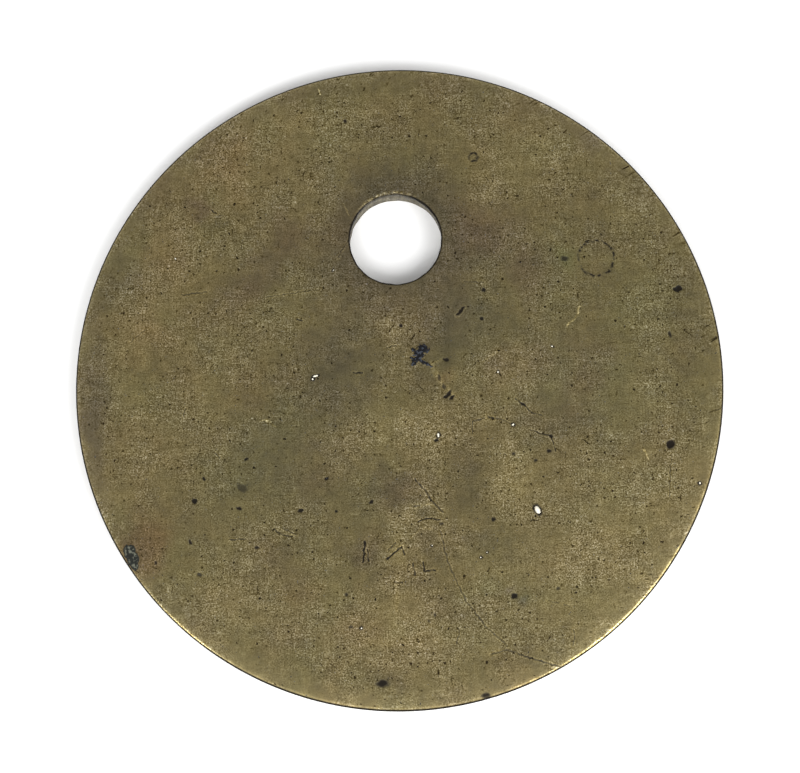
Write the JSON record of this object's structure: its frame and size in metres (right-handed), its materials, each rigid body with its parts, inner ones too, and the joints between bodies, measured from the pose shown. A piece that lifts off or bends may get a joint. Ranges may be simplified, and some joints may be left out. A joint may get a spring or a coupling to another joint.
{
  "type": "transit token",
  "caption": "Flat round brass token with a blank, worn, patinated face, rounded rim and a punched hanging hole near its edge.",
  "frame": {"origin": "centre of the underside, where the token lies on a surface", "axes": "+Z out of the blank worn face, along the disc's axis and the hole's axis; +Y from the disc's centre towards the hanging hole"},
  "size_m": [0.038, 0.038, 0.002],
  "materials": {
    "worn_brass": "worn, olive-brown patina"
  },
  "bodies": {
    "root": {"token_disc": "worn_brass"}
  },
  "joints": []
}
